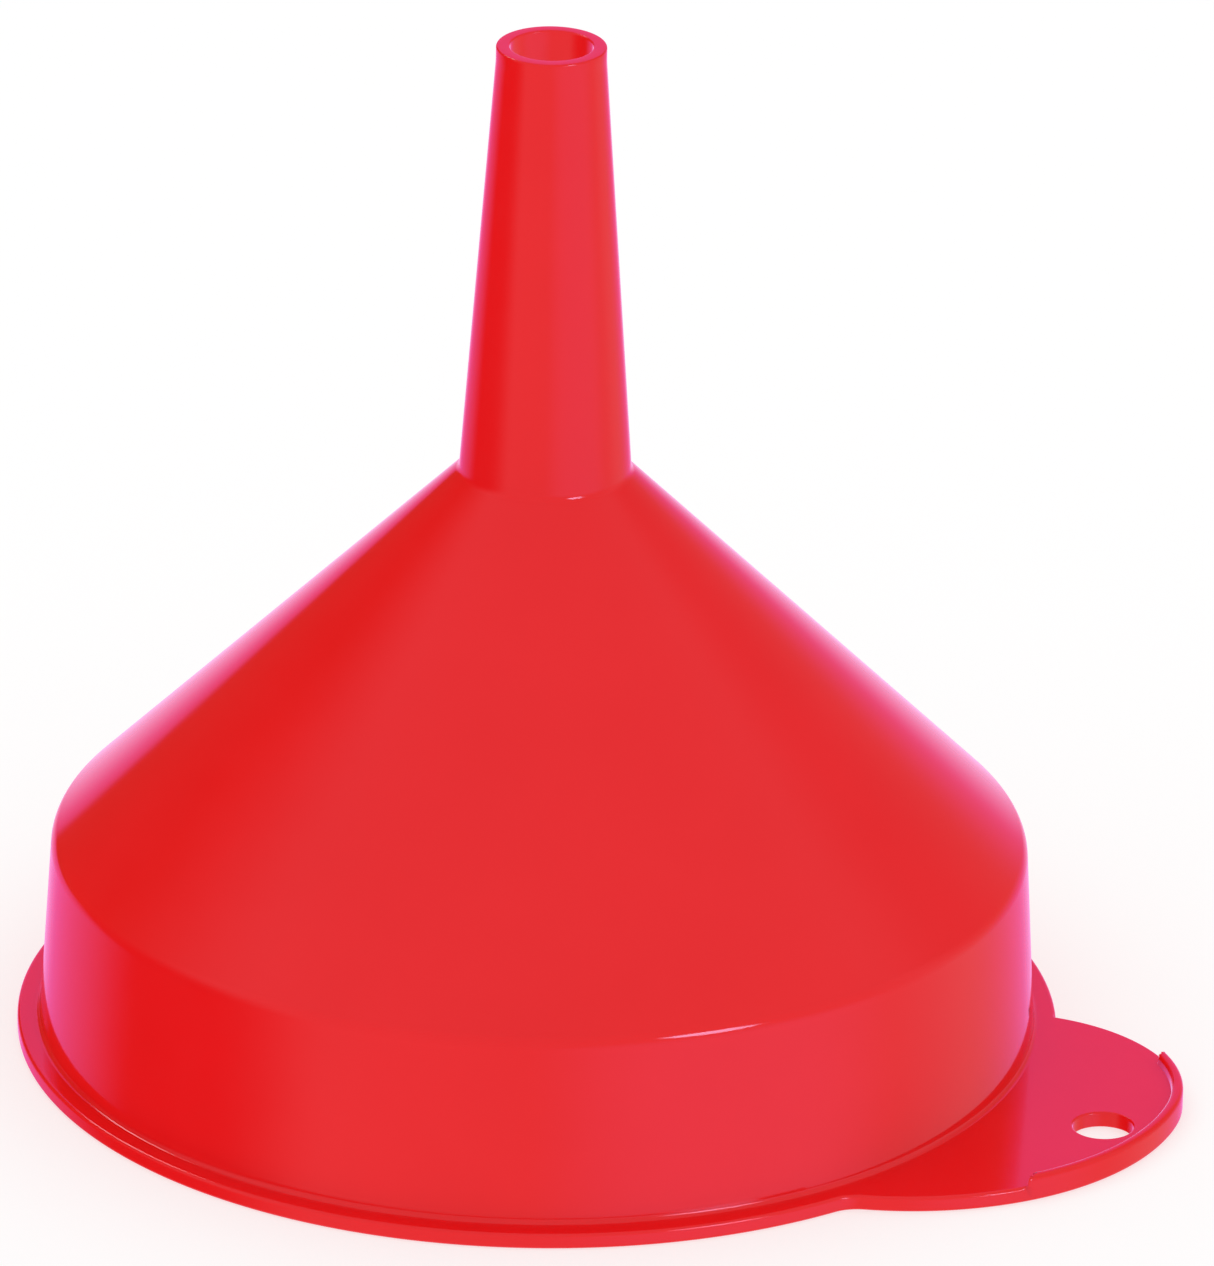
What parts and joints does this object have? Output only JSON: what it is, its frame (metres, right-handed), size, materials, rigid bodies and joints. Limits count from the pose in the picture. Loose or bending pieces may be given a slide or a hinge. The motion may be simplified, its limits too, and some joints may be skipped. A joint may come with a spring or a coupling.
{
  "type": "pouring funnel",
  "caption": "One-piece plastic pouring funnel with a tapered spout, a wide cone, an upright side wall, a flanged rim and a flat hang-up tab with a hole.",
  "frame": {"origin": "centre of the mouth, in the plane that the rim stands on", "axes": "+Z along the axis from the mouth towards the spout's tip, +X from the axis towards the hang-up hole"},
  "size_m": [0.1831, 0.16, 0.1613],
  "materials": {
    "red_plastic": "glossy red polyethylene"
  },
  "bodies": {
    "root": {"rim": "red_plastic", "side_wall": "red_plastic", "shoulder": "red_plastic", "cone": "red_plastic", "neck": "red_plastic", "spout": "red_plastic", "hang_tab": "red_plastic", "tab_lip": "red_plastic"}
  },
  "joints": []
}
